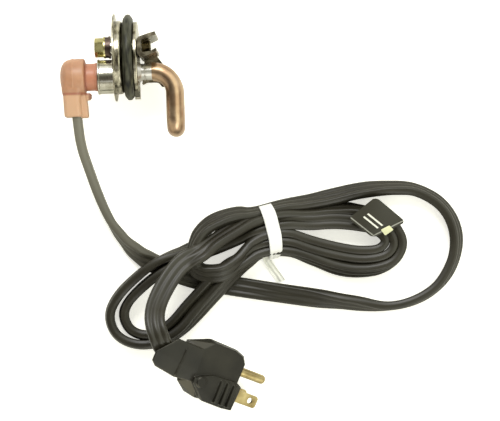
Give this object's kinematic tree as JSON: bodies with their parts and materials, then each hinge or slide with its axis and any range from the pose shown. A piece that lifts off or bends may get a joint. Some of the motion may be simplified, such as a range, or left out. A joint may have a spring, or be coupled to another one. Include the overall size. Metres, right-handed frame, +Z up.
{
  "type": "engine block heater",
  "caption": "Engine block heater: core plug with sealing ring, clamp bar and screw, hairpin element, and flat cord set with elbow boot, hank, tie, flag label and mains plug.",
  "frame": {"origin": "bottom centre of the heater's box, on the surface that it lies on, without the cord set", "axes": "+X along the core plug's axis, out of the flange's inner face towards the element; +Z up from the surface; the element's arm points along -Y"},
  "size_m": [0.2049, 0.2054, 0.0448],
  "materials": {
    "plate_steel": "bright stamped steel",
    "shroud_steel": "bright drawn steel",
    "clamp_steel": "stamped steel, dull",
    "solder_silver": "silver-soldered steel",
    "dark_steel": "blackened spring steel",
    "yellow_zinc": "yellow zinc plate",
    "copper_tube": "copper, heat tinted",
    "contact_metal": "brass",
    "prong_brass": "brass",
    "ring_rubber": "black rubber",
    "boot_silicone": "silicone rubber, salmon",
    "cord_jacket": "thermoset jacket, olive black",
    "plug_rubber": "moulded rubber, black",
    "insulator": "moulded insulation",
    "tie_plastic": "white plastic tape",
    "tag_film": "black label film",
    "patch_film": "pale yellow film"
  },
  "bodies": {
    "heater": {"front_flange": "plate_steel", "screw_boss": "plate_steel", "plug_hub": "plate_steel", "o_ring": "ring_rubber", "back_plate": "plate_steel", "locating_foot": "plate_steel", "terminal_shroud": "shroud_steel", "terminal_insulator": "insulator", "terminal_pin_a": "contact_metal", "terminal_pin_b": "contact_metal", "ground_pin": "contact_metal", "cold_end_upper": "solder_silver", "cold_end_lower": "solder_silver", "heating_element": "copper_tube", "flat_washer": "dark_steel"},
    "screw": {"clamp_screw": "yellow_zinc", "lock_washer": "dark_steel"},
    "bar": {"clamp_bar": "clamp_steel"},
    "cord_set": {"boot": "boot_silicone", "connector_body": "insulator", "contact_a": "contact_metal", "contact_b": "contact_metal", "contact_ground": "contact_metal", "cord_lead": "cord_jacket", "cord_hank": "cord_jacket", "cord_tail": "cord_jacket", "tie_band": "tie_plastic", "tie_end": "tie_plastic", "cord_tag": "tag_film", "tag_patch": "patch_film", "plug_body": "plug_rubber", "plug_grip": "plug_rubber", "plug_tail": "plug_rubber", "plug_ground_prong": "prong_brass", "blade_upper": "prong_brass", "blade_lower": "prong_brass"}
  },
  "joints": [
    {"name": "clamp_screw_turn", "type": "hinge", "parent": "heater", "child": "screw", "pos_m": [-0.0117, 0.01498, 0.0224], "axis": [-1, 0, 0], "range_deg": [0, 1080]},
    {"name": "clamp_bar_travel", "type": "slide", "parent": "heater", "child": "bar", "axis": [1, 0, 0], "range_m": [0, 0.003]},
    {"name": "connector_pull", "type": "slide", "parent": "heater", "child": "cord_set", "axis": [-1, 0, 0], "range_m": [0, 0.014]}
  ],
  "couplings": [
    {"joint": "clamp_screw_turn", "follows": "clamp_bar_travel", "rad_per_m": 6283}
  ]
}
